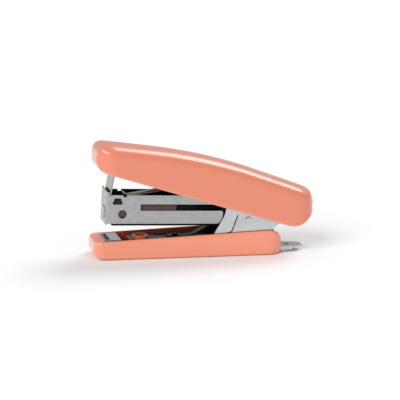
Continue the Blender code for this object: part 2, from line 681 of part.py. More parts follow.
def make_pusher():
    """Saddle behind the staples, with a tongue through the core's slot down to the rod."""
    half = STAPLE_WIDTH / 2 - 0.0001
    skin = half - CORE_HALF_WIDTH - FIT
    top = CORE_TOP + PUSHER_RISE + SHEET
    skirt = ROD_LEVEL - PUSHER_SKIRT
    section = channel_section(half, top, skirt, skin, skin + 0.0001)
    pusher = slab("pusher", [section], PUSHER_FRONT, PUSHER_FRONT + PUSHER_LENGTH, ACROSS)
    tongue = rectangle(-TONGUE_HALF_WIDTH, skirt + 0.0001, TONGUE_HALF_WIDTH, top - SHEET / 2)
    hole = circle(0, ROD_LEVEL, ROD_RADIUS + FIT, RIVET_STEPS)
    front = PUSHER_FRONT + SIDE_FIT
    join(pusher, slab("pusher_tongue", [tongue, hole], front, front + TONGUE_PLATE, ACROSS))
    dress(pusher, MAGAZINE, *BLACK_NYLON)


def make_pusher_rod():
    """Guide rod along the core, headed behind its seat."""
    head = SEAT_X + SHEET + FIT
    end = STRIP_FRONT + 0.0015
    wide = ROD_RADIUS * 2
    profile = [
        (0, head + ROD_RADIUS), (wide, head + ROD_RADIUS), (wide, head), (ROD_RADIUS, head),
        (ROD_RADIUS, end), (0, end),
    ]
    dress(turned("pusher_rod", profile, (0, 0, ROD_LEVEL), (1, 0, 0)), MAGAZINE, *NICKEL)


def make_pusher_spring():
    """Coil on the rod between the pusher's tongue and the seat."""
    start = PUSHER_FRONT + SIDE_FIT + TONGUE_PLATE + COIL_WIRE + FIT
    end = SEAT_X - COIL_WIRE - FIT
    count = COIL_TURNS * COIL_STEPS + 1
    curve = bpy.data.curves.new("pusher_spring", "CURVE")
    curve.dimensions = "3D"
    curve.bevel_depth = COIL_WIRE
    curve.bevel_resolution = 1
    curve.use_fill_caps = True
    spline = curve.splines.new("POLY")
    spline.points.add(count - 1)
    for i, point in enumerate(spline.points):
        turn = 2 * math.pi * i / COIL_STEPS
        x = start + (end - start) * i / (count - 1)
        point.co = (x, COIL_RADIUS * math.cos(turn), ROD_LEVEL + COIL_RADIUS * math.sin(turn), 1)
    coil = bpy.data.objects.new("pusher_spring", curve)
    PARTS.objects.link(coil)
    coil.data.materials.append(new_material("pusher_spring_material", *SPRING_STEEL))
    coil.parent = MAGAZINE


def make_pivot_bush():
    """Spacer tube on the pin between the magazine's ears."""
    half = MAG_INNER - FIT
    rings = [circle(0, 0, PIN_HOLE + BUSH_WALL), circle(0, 0, PIN_HOLE)]
    dress(slab("pivot_bush", rings, -half, half), MAGAZINE, *NICKEL)


# ---------------------------------------------------------------- base
def rim(x):
    return RIM_FRONT + (RIM_BACK - RIM_FRONT) * (x - BASE_FRONT_X) / BASE_LENGTH


def tray_plan(front, back, half, front_corner, back_corner):
    return rounded(
        [
            (front, -half, front_corner), (back, -half, back_corner),
            (back, half, back_corner), (front, half, front_corner),
        ]
    )


def make_base_cover():
    """Moulded tray under everything, higher at the back, with the hollow post that holds the steel frame."""
    side = rounded(
        [
            (BASE_FRONT_X + 0.0012, 0, TOE_RADIUS), (BASE_BACK_X - 0.0006, 0, 0.0015),
            (BASE_BACK_X, RIM_BACK, TAIL_RADIUS), (BASE_FRONT_X, RIM_FRONT, 0.0006),
        ]
    )
    cover = slab("base_cover", [side], -FAR, FAR)
    outer = tray_plan(BASE_FRONT_X, BASE_BACK_X, BASE_HALF_WIDTH, FRONT_CORNER, BACK_CORNER)
    keep_inside(cover, slab("base_plan", [outer], -FAR, FAR, FLAT))
    inner = BASE_HALF_WIDTH - BASE_WALL
    tray_front = BASE_FRONT_X + TRAY_SETBACK
    tray = tray_plan(tray_front, BASE_BACK_X - BASE_WALL, inner, 0.0004, BACK_CORNER - BASE_WALL)
    cut(cover, slab("tray", [tray], TRAY_FLOOR, FAR, FLAT))
    rings = [circle(BOSS_X, 0, BOSS_RADIUS), circle(BOSS_X, 0, BOSS_BORE)]
    join(cover, slab("boss", rings, TRAY_FLOOR - 0.0004, rim(BOSS_X), FLAT))
    half = TONGUE_HALF + FIT
    mouth = rectangle(-half, TONGUE_TOP - FRAME_SHEET - TONGUE_LIP - FIT, half, TONGUE_TOP + FIT)
    cut(cover, slab("tongue_mouth", [mouth], BASE_BACK_X - 0.005, BASE_BACK_X + 0.005, ACROSS))
    dress(cover, BASE, *CORAL)


def frame_plan():
    """Plan of the frame: the strip, the wider foot of the ears and the tongue."""
    narrow = STRIP_HALF_WIDTH
    wide = EAR_OUTER - INSET
    half_plan = [
        (FRAME_FRONT, narrow, 0.0030), (EAR_FRONT - 0.003, narrow, 0.002), (EAR_FRONT, wide, 0),
        (EAR_BACK - 0.0019, wide, 0), (EAR_BACK + 0.0015, TONGUE_HALF, 0),
        (TONGUE_END - 0.0040, TONGUE_HALF, 0.002), (TONGUE_END, TONGUE_HALF * 0.55, 0.0016),
    ]
    return rounded(half_plan + [(x, -y, radius) for x, y, radius in half_plan[::-1]])


def ear_outline():
    """Side outline of an ear, whose front edge leans back as it rises."""
    foot = FRAME_TOP - FRAME_SHEET + 0.0001
    top = PIVOT.z + EAR_ABOVE
    back_foot = EAR_BACK - 0.0018
    return rounded(
        [
            (EAR_FRONT - 0.0004, foot, 0), (back_foot, foot, 0), (back_foot, FRAME_TOP + 0.0006, 0),
            (EAR_BACK, FRAME_TOP + 0.0028, 0.001), (EAR_TOP_BACK, PIVOT.z - 0.0052, 0.001),
            (EAR_TOP_BACK, top, 0.0035), (EAR_FRONT + 0.0046, top, 0.0015),
            (EAR_FRONT + 0.0036, PIVOT.z - 0.0025, 0.008), (EAR_FRONT, FRAME_TOP + 0.0021, 0.003),
        ]
    )


def make_base_frame():
    """Steel frame: ribbed strip along the tray, an ear each side up to the pin, and the staple-remover
    tongue."""
    level = FRAME_TOP - FRAME_SHEET / 2
    low = TONGUE_TOP - FRAME_SHEET / 2
    bend = EAR_BACK - 0.0015
    path = [(FRAME_FRONT - 0.001, level), (bend, level), (bend + 0.0028, low), (TONGUE_END + 0.001, low)]
    frame = slab("base_frame", [ribbon(path, FRAME_SHEET)], -FAR, FAR)
    post = circle(BOSS_X, 0, BOSS_RADIUS + FIT)
    slot = rectangle(BASE_BACK_X + 0.0012, -0.0016, BASE_BACK_X + 0.0034, 0.0016, 0.0010)
    rivet = circle(RETURN_RIVET_X, 0, RIVET_HOLE, RIVET_STEPS)
    keep_inside(frame, slab("frame_plan", [frame_plan(), post, slot, rivet], -FAR, FAR, FLAT))
    stop_hole = circle(PIVOT.x - STOP_REACH, PIVOT.z - STOP_DROP, RIVET_RADIUS + 2 * FIT)
    groove_path = [
        (PIVOT.x - 0.0124, FRAME_TOP + 0.0023), (PIVOT.x - 0.0112, FRAME_TOP + 0.0024),
        (PIVOT.x - 0.0105, FRAME_TOP + 0.0031), (PIVOT.x - 0.0097, FRAME_TOP + 0.0055),
        (PIVOT.x - 0.0086, FRAME_TOP + 0.0087),
    ]
    ear = [ear_outline(), circle(PIVOT.x, PIVOT.z, PIN_HOLE), stop_hole, ribbon(groove_path, GROOVE_WIDTH)]
    for name, inner, outer in (("ear_left", -EAR_OUTER, -EAR_INNER), ("ear_right", EAR_INNER, EAR_OUTER)):
        join(frame, slab(name, ear, inner, outer))
    front = PIVOT.x - RIB_START
    lip_start, lip_end = BASE_BACK_X - 0.0030, TONGUE_END - 0.0045
    half = RIB_HALF_WIDTH
    for side_y in (-1, 1):
        y = side_y * RIB_Y
        rib = rectangle(front, y - half, front + RIB_LENGTH, y + half, half * 0.9)
        low_rim, high_rim = FRAME_TOP - RIB_RISE, FRAME_TOP + RIB_RISE
        join(frame, slab("rib", [rib], low_rim, high_rim, FLAT, edge=RIB_RISE * 0.6))
        edge = side_y * (TONGUE_HALF - FRAME_SHEET / 2 - INSET)
        lip = rectangle(lip_start, edge - FRAME_SHEET / 2, lip_end, edge + FRAME_SHEET / 2)
        join(frame, slab("tongue_lip", [lip], low - FRAME_SHEET / 2 - TONGUE_LIP, low, FLAT))
    dress(frame, BASE, *NICKEL)


def make_anvil():
    """Clinching plate on the ledge: two hollows turn the staple's legs in, and its sides turn down into
    the tray."""
    half = BASE_HALF_WIDTH - BASE_WALL - FIT
    front = BASE_FRONT_X + TRAY_SETBACK + FIT
    section = channel_section(half, ANVIL_TOP, ANVIL_TOP - ANVIL_DEPTH, FRAME_SHEET)
    plate = slab("anvil_plate", [section], front, front + ANVIL_LENGTH, ACROSS)
    middle = PIVOT.x - REACH + SHEET + BLADE_SLOT / 2
    reach = STAPLE_WIDTH / 4 - 0.0001
    for side_y in (-1, 1):
        y = side_y * (STAPLE_WIDTH / 4 + 0.0002)
        hollow = rectangle(middle - CLINCH_HALF, y - reach, middle + CLINCH_HALF, y + reach, 0.0006)
        cut(plate, slab("clinch", [hollow], ANVIL_TOP - CLINCH_DEPTH, ANVIL_TOP + 0.001, FLAT))
    dress(plate, BASE, *NICKEL)


def make_return_spring():
    """Leaf riveted to the base frame that holds the magazine up."""
    level = FRAME_TOP + FIT + LEAF_THICKNESS / 2
    root = PIVOT.x - RETURN_ROOT
    bend = PIVOT.x - RETURN_BEND
    tip = PIVOT.x - RETURN_TIP
    under_magazine = PIVOT.z + RETURN_TIP * math.tan(MAGAZINE_TILT) + FLOOR_TOP - FLOOR_THICKNESS
    high = under_magazine - RETURN_GAP - LEAF_THICKNESS / 2
    path = [
        (root, level), (bend, level), (bend + 0.0030, level + 0.0005), (tip - 0.0015, high - 0.0004),
        (tip, high), (tip + 0.0015, high - 0.0002),
    ]
    leaf = slab("return_spring", [ribbon(path, LEAF_THICKNESS)], -LEAF_HALF_WIDTH, LEAF_HALF_WIDTH)
    hole = [circle(RETURN_RIVET_X, 0, RIVET_HOLE, RIVET_STEPS)]
    cut(leaf, slab("return_hole", hole, level - 0.001, level + 0.001, FLAT))
    dress(leaf, BASE, *SPRING_STEEL)
    grip = FRAME_SHEET + FIT + LEAF_THICKNESS + 2 * FIT
    middle = FRAME_TOP + (FIT + LEAF_THICKNESS - FRAME_SHEET) / 2
    profile = rivet_profile(RIVET_HEAD, RIVET_HEAD_HEIGHT, RIVET_RADIUS, grip)
    dress(turned("return_spring_rivet", profile, (RETURN_RIVET_X, 0, middle), (0, 0, 1)), BASE, *NICKEL)


def make_pins():
    """The pivot pin through handle, ears and magazine, and the stop pin between the ears."""
    half = ARM_OUTER + 0.5 * FIT
    pin = [(0, half), (PIN_RADIUS, half), (PIN_RADIUS, -half), (0, -half)]
    dress(turned("pivot_pin", pin, PIVOT, (0, 1, 0)), BASE, *NICKEL)
    profile = rivet_profile(STOP_HEAD, STOP_HEAD_HEIGHT, RIVET_HOLE, 2 * (EAR_OUTER + 0.5 * FIT))
    place = (PIVOT.x - STOP_REACH, 0, PIVOT.z - STOP_DROP)
    dress(turned("stop_pin", profile, place, (0, 1, 0)), BASE, *NICKEL)


make_handle_cover()
make_handle_arm()
make_driver_blade()
make_blade_rivets()
make_handle_spring()
make_magazine_channel()
make_magazine_floor()
make_staple_core()
make_staple_strip()
make_pusher()
make_pusher_rod()
make_pusher_spring()
make_pivot_bush()
make_base_cover()
make_base_frame()
make_anvil()
make_return_spring()
make_pins()
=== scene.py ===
"""Looks of a compact hand stapler: moulded coral shells over bright pressed steel, round the fixed frame.

Metres, +Z up, the staples leave at the -X end. Every new piece is a surface computed with numpy.
"""

import json
import math

import bmesh
import bpy
import numpy as np
from mathutils import Matrix, Vector


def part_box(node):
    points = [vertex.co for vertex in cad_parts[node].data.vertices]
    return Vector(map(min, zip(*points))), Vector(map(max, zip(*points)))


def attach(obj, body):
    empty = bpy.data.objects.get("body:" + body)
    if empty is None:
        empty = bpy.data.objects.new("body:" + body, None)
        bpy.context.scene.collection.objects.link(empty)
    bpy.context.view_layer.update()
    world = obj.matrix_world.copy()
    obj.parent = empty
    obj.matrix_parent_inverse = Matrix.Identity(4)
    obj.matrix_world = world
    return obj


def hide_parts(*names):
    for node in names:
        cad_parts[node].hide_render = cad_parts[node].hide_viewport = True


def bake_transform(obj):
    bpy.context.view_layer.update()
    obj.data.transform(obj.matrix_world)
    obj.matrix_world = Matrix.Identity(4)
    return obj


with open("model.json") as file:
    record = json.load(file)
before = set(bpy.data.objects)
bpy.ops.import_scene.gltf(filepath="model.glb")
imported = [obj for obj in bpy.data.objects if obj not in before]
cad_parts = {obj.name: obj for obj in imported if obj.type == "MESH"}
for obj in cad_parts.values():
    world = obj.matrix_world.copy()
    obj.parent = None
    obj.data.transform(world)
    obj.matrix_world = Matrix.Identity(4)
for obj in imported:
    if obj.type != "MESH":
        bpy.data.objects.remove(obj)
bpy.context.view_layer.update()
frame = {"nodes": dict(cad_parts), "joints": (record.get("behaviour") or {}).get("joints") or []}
NODES = frame["nodes"]

# ---------------------------------------------------------------- sizes, from the frame
PIVOT = Vector(next(j for j in frame["joints"] if j["name"] == "handle_hinge")["pos_m"])
COVER_LOW, COVER_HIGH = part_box("handle_cover")
BASE_LOW, BASE_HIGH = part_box("base_cover")
STRIP_LOW, STRIP_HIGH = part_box("staple_strip")

MAGAZINE_TILT = math.radians(1.5)
HANDLE_TILT = math.radians(16.8)

# handle cover, from the pivot
COVER_NOSE = COVER_LOW.x - PIVOT.x
COVER_BACK = COVER_HIGH.x - PIVOT.x
COVER_HALF = COVER_HIGH.y
COVER_WALL = 0.0009
COVER_CREST = (-0.0194, 0.0196)
COVER_NOSE_TOP = 0.0247
COVER_HEEL_TOP, COVER_HEEL_LOW = 0.00545, -0.0019
COVER_HEEL_BOTTOM = 0.0136
COVER_EDGE_DROP = 0.0032
HEEL_PLAN_RADIUS = 0.0075
NOSE_PLAN_RADIUS = 0.0080
NOSE_FACE_HALF = 0.0047

# base cover
BASE_HALF = BASE_HIGH.y
BASE_WALL = 0.00095
RIM_FRONT = 0.00656
RIM_BACK = 0.00944
TRAY_FLOOR = 0.0012
TRAY_SETBACK = 0.0040
TRAY_BACK_RADIUS = 0.0058
BOSS_X = PIVOT.x - 0.0432
BOSS_RADIUS = 0.0030
BOSS_BORE = 0.0019
POST_CHAMFER = 0.0003

# anvil
CLINCH_X = PIVOT.x - 0.0557

# springs, as side lines from the pivot: the handle's leaf in the arm's frame, the other one level
LEAF_THICKNESS = 0.0004
HANDLE_LEAF = [(-0.0080, 0.0044), (-0.0160, 0.0044), (-0.0185, 0.0040), (-0.0341, -0.0030),
               (-0.0466, -0.0089), (-0.0480, -0.0092), (-0.0494, -0.0088)]
RETURN_LEAF = [(-0.0333, -0.0106), (-0.0263, -0.0106), (-0.0233, -0.0101), (-0.0168, -0.0070),
               (-0.0153, -0.0066), (-0.0138, -0.0068)]

# light and colour
SURROUND = 0.47
FLOOR_HALF = 6.0
KEY_STRENGTH, KEY_ANGLE, KEY_FROM = 1.75, 34, (-0.62, -0.55, 0.56)
TOP_STRENGTH, TOP_ANGLE, TOP_FROM = 1.15, 30, (0.50, 0.42, 0.76)
# the second colour is painted contact shadow along the base's lowest edge, the third painted shade inside the
# tray
PALE_CORAL, CONTACT_SHADE_CORAL, TRAY_SHADE_RED = (0.86, 0.33, 0.23), (0.33, 0.035, 0.022), (0.62, 0.085, 0.022)

# camera
CAMERA_TURN, CAMERA_LIFT, CAMERA_ROLL = math.radians(-15.17), math.radians(12.89), math.radians(2.08)
CAMERA_AIM = Vector((-0.00135, 0, 0.0195))
CAMERA_DISTANCE = 0.519
CAMERA_LENS = 129.06


# ---------------------------------------------------------------- numpy helpers
def arc_corners(corners, steps=10):
    """Closed outline through (x, y, radius) corners: each corner is replaced by the arc of its radius that
    touches both sides, cut into equal turns."""
    count = len(corners)
    points = []
    for i in range(count):
        here = np.array(corners[i][:2])
        radius = corners[i][2]
        last = np.array(corners[i - 1][:2]) - here
        following = np.array(corners[(i + 1) % count][:2]) - here
        far_last, far_next = np.linalg.norm(last), np.linalg.norm(following)
        last, following = last / far_last, following / far_next
        half = math.acos(np.clip(last @ following, -1, 1)) / 2
        if radius <= 0 or abs(half - math.pi / 2) < 1e-3:
            points.append(here[None])
            continue
        reach = min(radius / math.tan(half), 0.499 * far_last, 0.499 * far_next)
        radius = reach * math.tan(half)
        middle = last + following
        centre = here + middle / np.linalg.norm(middle) * radius / math.sin(half)
        start, end = here + last * reach - centre, here + following * reach - centre
        sweep = math.atan2(start[0] * end[1] - start[1] * end[0], start @ end)
        turn = np.linspace(0, sweep, steps + 1)[:, None]
        swung = np.concatenate((-start[1] * np.sin(turn), start[0] * np.sin(turn)), 1)
        points.append(centre + start * np.cos(turn) + swung)
    return np.concatenate(points)


def spaced(points, count, closed=False):
    """The line through the points cut into count equal lengths along it."""
    line = np.concatenate((points, points[:1])) if closed else points
    reach = np.concatenate(([0], np.cumsum(np.linalg.norm(np.diff(line, axis=0), axis=1))))
    want = np.linspace(0, reach[-1], count, endpoint=not closed)
    return np.stack([np.interp(want, reach, line[:, i]) for i in range(line.shape[1])], 1)


def grid_faces(rows, columns, wrap_rows=False, wrap_columns=False):
    """Quads between neighbouring points of a rows by columns grid, as indexes into it."""
    i = np.arange(rows if wrap_rows else rows - 1)[:, None]
    j = np.arange(columns if wrap_columns else columns - 1)[None]
    a, b = i * columns + j, i * columns + (j + 1) % columns
    c, d = (i + 1) % rows * columns + (j + 1) % columns, (i + 1) % rows * columns + j
    return np.stack((a, b, c, d), -1).reshape(-1, 4)


def solid(name, points, faces, sharp=35, weld=2e-6):
    """Mesh object from arrays: doubles merged, faces turned outwards, smooth but sharp above an angle."""
    mesh = bpy.data.meshes.new(name)
    mesh.from_pydata(np.asarray(points, float).reshape(-1, 3), [], [list(map(int, f)) for f in faces])
    work = bmesh.new()
    work.from_mesh(mesh)
    bmesh.ops.remove_doubles(work, verts=work.verts, dist=weld)
    bmesh.ops.dissolve_degenerate(work, edges=work.edges, dist=weld / 4)
    bmesh.ops.recalc_face_normals(work, faces=work.faces)
    work.to_mesh(mesh)
    work.free()
    mesh.shade_smooth()
    mesh.set_sharp_from_angle(angle=math.radians(sharp))
    piece = bpy.data.objects.new(name, mesh)
    bpy.context.scene.collection.objects.link(piece)
    return piece


def finish_piece(piece, body, slot, material, *replaced):
    """Paints a piece, hangs it on its body and hides the CAD nodes it stands for."""
    piece.data.materials.clear()
    piece.data.materials.append(material)
    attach(piece, body)
    if replaced:
        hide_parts(*replaced)
    return piece


# ---------------------------------------------------------------- handle cover
def cover_edge(x):
    """Height of the cover's straight lower edge, from the pivot."""
    return -COVER_EDGE_DROP - math.tan(HANDLE_TILT) * x


def cover_line(inset):
    """Closed side line of the cover, moved in by inset: it runs from the nose along the lower edge, round the
    heel and back over the crest."""
    nose, back = COVER_NOSE + inset, COVER_BACK - inset
    return arc_corners([
        (nose, cover_edge(nose), 0.0039), (COVER_HEEL_BOTTOM, cover_edge(COVER_HEEL_BOTTOM), 0.008),
        (back, COVER_HEEL_LOW, 0.0065 - inset), (back, COVER_HEEL_TOP - inset * 0.6, 0.0065 - inset),
        (COVER_CREST[0], COVER_CREST[1] - inset, 0.300), (nose, COVER_NOSE_TOP - inset, 0.0056 - inset),
    ], 24)


def cover_profile(inset, lip):
    """The side line in two parts, each from nose to heel: the upper one that the shell follows, and the
    open lower one. They part where the front and back walls end, a lip's width inside the outline."""
    line = cover_line(inset)
    nose, back = COVER_NOSE + inset + lip, COVER_BACK - inset - lip
    under = (line[:, 0] > nose) & (line[:, 0] < back)
    ceiling = (cover_edge(nose) + 0.005, COVER_HEEL_LOW + 0.0012)
    under &= line[:, 1] < np.interp(line[:, 0], (nose, back), ceiling)
    first = int(np.argmax(under & ~np.roll(under, 1)))
    line, under = np.roll(line, -first, axis=0), np.roll(under, -first)
    split = int(np.argmin(under))
    lower, upper = line[:split], np.concatenate((line[split - 1:], line[:1]))[::-1]
    return upper, lower


COVER_ROWS = 150
SHOULDER_ACROSS, SHOULDER_DOWN = 0.0078, 0.0034
SHOULDER_TURNS = 12


def cover_skin(inset, lip, half):
    """One skin of the cover as rows by columns of points. A row starts on the side line and runs across the
    roof, down an elliptic shoulder and down the flat side to the lower edge. On the nose the row starts below
    the crest, so it leaves out as much of the shoulder, which draws the crease beside the front face."""
    top, edge = cover_profile(inset, lip)
    top, edge = spaced(top, COVER_ROWS), spaced(edge, 400)
    slope = np.gradient(top, axis=0)
    slope /= np.linalg.norm(slope, axis=1)[:, None]
    normal = np.stack((-slope[:, 1], slope[:, 0]), 1)
    crest = int(np.argmin(np.abs(top[:, 0] - COVER_NOSE - 0.0062)))
    start, crest_normal = top[crest], normal[crest]
    below = np.maximum((start - top) @ crest_normal, 0)
    below[crest:] = 0
    normal[:crest] = crest_normal
    share = np.linspace(0, 1, COVER_ROWS)
    under = np.interp(top[:, 0], (edge[0, 0], edge[-1, 0]), (0, 1)) * 0.7 + share * 0.3
    under[0], under[-1] = 0, 1
    foot = edge[(under * (len(edge) - 1)).astype(int)]

    flank = NOSE_PLAN_RADIUS - (COVER_HALF - NOSE_FACE_HALF)
    flank_end = COVER_NOSE + math.sqrt(NOSE_PLAN_RADIUS ** 2 - flank ** 2)

    def half_at(x):
        into = np.clip(x - (COVER_BACK - HEEL_PLAN_RADIUS), 0, HEEL_PLAN_RADIUS - inset)
        ahead = np.clip(flank_end - x, 0, NOSE_PLAN_RADIUS)
        return (
            half - (HEEL_PLAN_RADIUS - np.sqrt(HEEL_PLAN_RADIUS ** 2 - into ** 2))
            - (NOSE_PLAN_RADIUS - np.sqrt(NOSE_PLAN_RADIUS ** 2 - ahead ** 2))
        )

    on_heel = top[:, 0] > COVER_BACK - inset - 0.0035
    fade = np.where(on_heel, np.clip((top[:, 1] - COVER_HEEL_LOW + 0.0012) / 0.0055, 0.12, 1), 1)
    across, down = (SHOULDER_ACROSS - inset) * fade, (SHOULDER_DOWN - inset) * fade
    turn0 = np.arccos(1 - np.minimum(below / down, 1))
    room = np.minimum(1, (half_at(top[:, 0]) - 0.0003) / across)
    first = half_at(top[:, 0]) - across * room * (1 - np.sin(turn0))
    columns = [(top, first * share_y) for share_y in np.linspace(0, 1, 9)]
    for turn in np.linspace(0, math.pi / 2, SHOULDER_TURNS + 1)[1:]:
        turns = np.maximum(turn, turn0)
        place = top - normal * np.maximum(down * (1 - np.cos(turns)) - below, 0)[:, None]
        columns.append((place, half_at(place[:, 0]) - across * room * (1 - np.sin(turns))))
    shoulder = columns[-1][0]
    for fall in np.linspace(0, 1, 10)[1:]:
        place = shoulder * (1 - fall) + foot * fall
        columns.append((place, half_at(place[:, 0])))
    right = np.stack([np.stack((place[:, 0], y, place[:, 1]), 1) for place, y in columns], 1)
    left = right[:, :0:-1] * (1, -1, 1)
    return np.concatenate((left, right), 1)


def cover_shell():
    """Handle cover: an outer and an inner skin joined along the lips, row by row into closed rings."""
    outer = cover_skin(0, 0.0006, COVER_HALF)
    inner = cover_skin(COVER_WALL, 0.0002, COVER_HALF - COVER_WALL)
    ring = np.concatenate((outer, inner[:, ::-1]), 1)
    rows, columns = ring.shape[:2]
    faces = [list(f) for f in grid_faces(rows, columns, wrap_columns=True)]
    for row in (0, rows - 1):
        start = row * columns
        for j in range(outer.shape[1] - 1):
            faces.append([start + j, start + j + 1, start + columns - 2 - j, start + columns - 1 - j])
    return solid("handle_shell", ring.reshape(-1, 3) + np.array(PIVOT), faces, sharp=32)


# ---------------------------------------------------------------- base cover
TRAY_ARC = 14
TRAY_SIDE = 60


def tray_ring(front, back, half, front_radius, back_radius):
    """Plan outline, a rounded rectangle with a fixed count of points: four quarter circles, four sides."""
    centres = (
        (back - back_radius, half - back_radius, back_radius),
        (front + front_radius, half - front_radius, front_radius),
        (front + front_radius, front_radius - half, front_radius),
        (back - back_radius, back_radius - half, back_radius),
    )
    runs = []
    for quarter, (x, y, radius) in enumerate(centres):
        turn = np.linspace(quarter, quarter + 1, TRAY_ARC + 1) * math.pi / 2
        arc = np.stack((x + radius * np.cos(turn), y + radius * np.sin(turn)), 1)
        next_x, next_y, next_radius = centres[(quarter + 1) % 4]
        turn = (quarter + 1) * math.pi / 2
        to = np.array((next_x + next_radius * math.cos(turn), next_y + next_radius * math.sin(turn)))
        count = TRAY_SIDE if quarter % 2 == 0 else 10
        along = np.linspace(0, 1, count + 1)[1:-1, None]
        runs += [arc, arc[-1] * (1 - along) + to * along]
    return np.concatenate(runs)


def rounding(depth, radius):
    """How far a quarter circle of this radius has drawn in at a depth from its start."""
    into = np.clip(radius - depth, 0, radius)
    return radius - np.sqrt(radius ** 2 - into ** 2)


def tray_top(x):
    """Height of the rim: a straight slope that is rounded off at the front and more at the back."""
    slope = RIM_FRONT + (RIM_BACK - RIM_FRONT) * (x - BASE_LOW.x) / (BASE_HIGH.x - BASE_LOW.x)
    return slope - rounding(x - BASE_LOW.x, 0.0008) - rounding(BASE_HIGH.x - x, 0.0062)


def tray_bottom(x):
    """Height of the underside: flat, with a quarter ellipse at the front and a quarter circle at the back."""
    return rounding((x - BASE_LOW.x) * 0.75, 0.0032) + rounding(BASE_HIGH.x - x, 0.0020)


def base_tray():
    """Base cover: rings round the plan outline, from the underside up the wall, over the rim and down into
    the tray. The heights of underside and rim are functions of x, and the edges are quarter circles."""
    front, back, half = BASE_LOW.x, BASE_HIGH.x, BASE_HALF
    rings = []

    def outer(inset):
        return tray_ring(front + inset, back - inset, half - inset, max(0.0032 - inset, 0.0004),
                         TRAY_BACK_RADIUS - inset)

    def inner(inset):
        return tray_ring(
            front + TRAY_SETBACK - inset, back - BASE_WALL + inset, half - BASE_WALL + inset,
            0.0005, 0.0049 + inset,
        )

    edge = 0.0007
    for inset in (0.0052, 0.0042, 0.0034, 0.0027, 0.0021, 0.0016, 0.0011):
        plan = outer(inset)
        rings.append(np.column_stack((plan, tray_bottom(plan[:, 0]))))
    for turn in np.linspace(0, math.pi / 2, 6)[:-1]:
        plan = outer(edge * (1 - math.sin(turn)))
        rings.append(np.column_stack((plan, tray_bottom(plan[:, 0]) + edge * (1 - math.cos(turn)))))
    lip = 0.0010
    for rise in np.linspace(0, 1, 8):
        plan = outer(0)
        low, high = tray_bottom(plan[:, 0]) + edge, tray_top(plan[:, 0]) - lip
        rings.append(np.column_stack((plan, low * (1 - rise) + high * rise)))
    for turn in np.linspace(0, math.pi / 2, 8)[1:]:
        plan = outer(lip * 0.62 * (1 - math.cos(turn)))
        rings.append(np.column_stack((plan, tray_top(plan[:, 0]) - lip * (1 - math.sin(turn)))))
    for inset in (0.00018, 0.00008, 0.00002, 0):
        plan = inner(inset)
        rings.append(np.column_stack((plan, tray_top(plan[:, 0]) - rounding(inset, 0.00018))))
    for z_share in np.linspace(0, 1, 6)[1:]:
        plan = inner(0)
        top = tray_top(plan[:, 0]) - 0.00018
        rings.append(np.column_stack((plan, top * (1 - z_share) + (TRAY_FLOOR + 0.0005) * z_share)))
    for turn in np.linspace(0, math.pi / 2, 4)[1:]:
        plan = inner(-0.0005 * (1 - math.cos(turn)))
        rings.append(np.column_stack((plan, np.full(len(plan), TRAY_FLOOR + 0.0005 * (1 - math.sin(turn))))))
    stack = np.stack(rings)
    rows, columns = stack.shape[:2]
    faces = [list(f) for f in grid_faces(rows, columns, wrap_columns=True)]
    faces += [list(range(columns)), list(range((rows - 1) * columns, rows * columns))]
    return solid("base_tray", stack.reshape(-1, 3), faces, sharp=40)


def turned(name, profile, centre, axis=(0, 0, 1), turns=48):
    """Turned piece: the (radius, height) profile swept round the axis through centre, turn by point."""
    profile = np.asarray(profile, float)
    angle = np.linspace(0, 2 * math.pi, turns, endpoint=False)[:, None]
    along = Vector(axis).normalized()
    side = along.orthogonal().normalized()
    other = along.cross(side)
    points = (
        np.array(centre) + (profile[:, 0] * np.cos(angle))[..., None] * np.array(side)
        + (profile[:, 0] * np.sin(angle))[..., None] * np.array(other) + profile[:, 1, None] * np.array(along)
    )
    faces = grid_faces(turns, len(profile), wrap_rows=True)
    return solid(name, points.reshape(-1, 3), faces, sharp=40, weld=1e-6)


# ---------------------------------------------------------------- sheet and wire pieces
def strip_along(name, path, half_widths, thickness, facing=(0, 1, 0)):
    """Flat strip: a rectangle with rounded edges carried along a smooth path in the XZ plane. The rectangle's
    thin side is square to the path and its half width may change along it."""
    path = np.asarray(path, float)
    slope = np.gradient(path, axis=0)
    slope /= np.linalg.norm(slope, axis=1)[:, None]
    normal = np.cross(slope, facing)
    half_widths = np.broadcast_to(half_widths, len(path))
    edge = thickness / 2
    turn = np.linspace(-math.pi / 2, math.pi / 2, 5)
    across = np.concatenate((np.cos(turn), -np.cos(turn)))
    rise = np.concatenate((np.sin(turn), -np.sin(turn)))
    side = np.sign(across + np.array([1e-9] * 5 + [-1e-9] * 5))
    y = side * (half_widths[:, None] - edge) + across * edge
    points = (
        path[:, None] + y[..., None] * np.array(facing)
        + (rise * edge)[None, :, None] * normal[:, None]
    )
    rows, columns = y.shape
    faces = [list(f) for f in grid_faces(rows, columns, wrap_columns=True)]
    faces += [list(range(columns)), list(range((rows - 1) * columns, rows * columns))]
    return solid(name, points.reshape(-1, 3), faces, sharp=40, weld=1e-6)


def tube(name, path, radius, sides=10):
    """Round wire: a circle carried along the path, kept square to it by two fixed cross products."""
    path = np.asarray(path, float)
    slope = np.gradient(path, axis=0)
    slope /= np.linalg.norm(slope, axis=1)[:, None]
    first = np.cross(slope, (1.0, 0.05, 0.02))
    first /= np.linalg.norm(first, axis=1)[:, None]
    second = np.cross(slope, first)
    turn = np.linspace(0, 2 * math.pi, sides, endpoint=False)
    points = path[:, None] + radius * (
        np.cos(turn)[None, :, None] * first[:, None] + np.sin(turn)[None, :, None] * second[:, None]
    )
    faces = [list(f) for f in grid_faces(len(path), sides, wrap_columns=True)]
    faces += [list(range(sides)), list(range((len(path) - 1) * sides, len(path) * sides))]
    return solid(name, points.reshape(-1, 3), faces, sharp=40, weld=1e-7)


